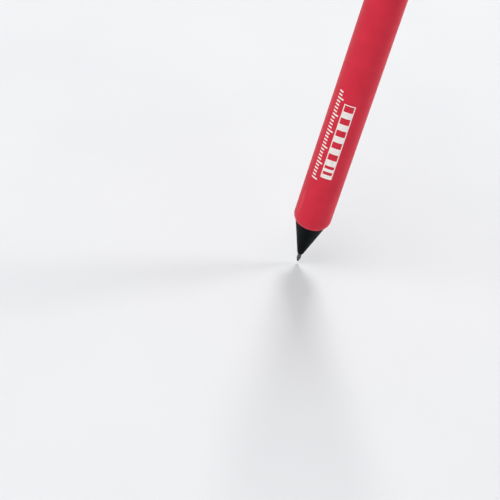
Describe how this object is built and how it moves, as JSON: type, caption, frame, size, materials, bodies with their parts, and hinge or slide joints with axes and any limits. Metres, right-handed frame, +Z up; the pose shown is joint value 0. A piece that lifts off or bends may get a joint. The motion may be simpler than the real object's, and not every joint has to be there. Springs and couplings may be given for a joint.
{
  "type": "lead holder",
  "caption": "Push-button lead holder: round barrel, screwed conical nose, guide pipe, spring chuck, pocket clip and capped eraser.",
  "frame": {"origin": "the writing point: the centre of the lead's flat end", "axes": "+Z up the axis, from the writing point to the top of the push cap; the clip is on the -Y side; +X completes the right-handed frame"},
  "size_m": [0.0082, 0.0105, 0.142],
  "materials": {
    "barrel_red": "satin moulded red plastic",
    "trim_black": "semi-gloss moulded black plastic",
    "steel": "drawn stainless steel",
    "brass": "turned brass",
    "nickel": "bright nickel plate",
    "housing_grey": "moulded grey plastic",
    "tube_clear": "translucent milky plastic",
    "rubber": "soft black rubber",
    "eraser_white": "soft white eraser",
    "graphite": "polished graphite and polymer lead"
  },
  "bodies": {
    "nose": {"nose_cone": "trim_black", "guide_pipe": "steel", "lead_retainer": "rubber"},
    "mechanism": {"chuck_housing": "housing_grey", "return_spring": "steel"},
    "outer": {"barrel": "barrel_red", "top_collar": "trim_black"},
    "clip_arm": {"clip": "nickel"},
    "carriage": {"chuck_coupler": "housing_grey", "chuck_stem": "brass", "lead_tube": "tube_clear", "spare_lead_1": "graphite", "spare_lead_2": "graphite", "spare_lead_3": "graphite", "eraser_holder": "nickel", "eraser": "eraser_white", "cleaning_pin": "steel"},
    "cap": {"push_cap": "trim_black"},
    "ring": {"clutch_ring": "brass"},
    "jaw_a": {"chuck_jaw_1": "brass"},
    "jaw_b": {"chuck_jaw_2": "brass"},
    "jaw_c": {"chuck_jaw_3": "brass"},
    "lead": {"writing_lead": "graphite"}
  },
  "joints": [
    {"name": "barrel_lift", "type": "slide", "parent": "nose", "child": "mechanism", "axis": [0, 0, 1], "range_m": [0, 0.0045]},
    {"name": "barrel_turn", "type": "hinge", "parent": "mechanism", "child": "outer", "pos_m": [0, 0, 0.015], "axis": [0, 0, 1], "range_deg": [0, 2160]},
    {"name": "clip_flex", "type": "hinge", "parent": "outer", "child": "clip_arm", "pos_m": [0, -0.0038, 0.1267], "axis": [-1, 0, 0], "range_deg": [0, 3], "stiffness_Nm_per_rad": 0.8, "springref_deg": -1.15},
    {"name": "button_press", "type": "slide", "parent": "mechanism", "child": "carriage", "axis": [0, 0, -1], "range_m": [0, 0.0035], "stiffness_N_per_m": 700, "springref_m": -0.002, "deforming": ["return_spring"]},
    {"name": "cap_pull", "type": "slide", "parent": "carriage", "child": "cap", "axis": [0, 0, 1], "range_m": [0, 0.018]},
    {"name": "ring_travel", "type": "slide", "parent": "mechanism", "child": "ring", "axis": [0, 0, -1], "range_m": [0, 0.0006]},
    {"name": "jaw_open_a", "type": "hinge", "parent": "carriage", "child": "jaw_a", "pos_m": [0.0007, 0, 0.024], "axis": [0, -1, 0], "range_deg": [0, 1.3]},
    {"name": "jaw_open_b", "type": "hinge", "parent": "carriage", "child": "jaw_b", "pos_m": [-0.00035, 0.00061, 0.024], "axis": [0.866, 0.5, 0], "range_deg": [0, 1.3]},
    {"name": "jaw_open_c", "type": "hinge", "parent": "carriage", "child": "jaw_c", "pos_m": [-0.00035, -0.00061, 0.024], "axis": [-0.866, 0.5, 0], "range_deg": [0, 1.3]},
    {"name": "lead_feed", "type": "slide", "parent": "mechanism", "child": "lead", "axis": [0, 0, -1], "range_m": [0, 0.0006]}
  ],
  "couplings": [
    {"joint": "barrel_turn", "follows": "barrel_lift", "rad_per_m": 8377.6},
    {"joint": "ring_travel", "follows": "button_press", "ratio": 0.1714},
    {"joint": "lead_feed", "follows": "button_press", "ratio": 0.1714},
    {"joint": "jaw_open_a", "follows": "button_press", "rad_per_m": 6.48},
    {"joint": "jaw_open_b", "follows": "button_press", "rad_per_m": 6.48},
    {"joint": "jaw_open_c", "follows": "button_press", "rad_per_m": 6.48}
  ]
}
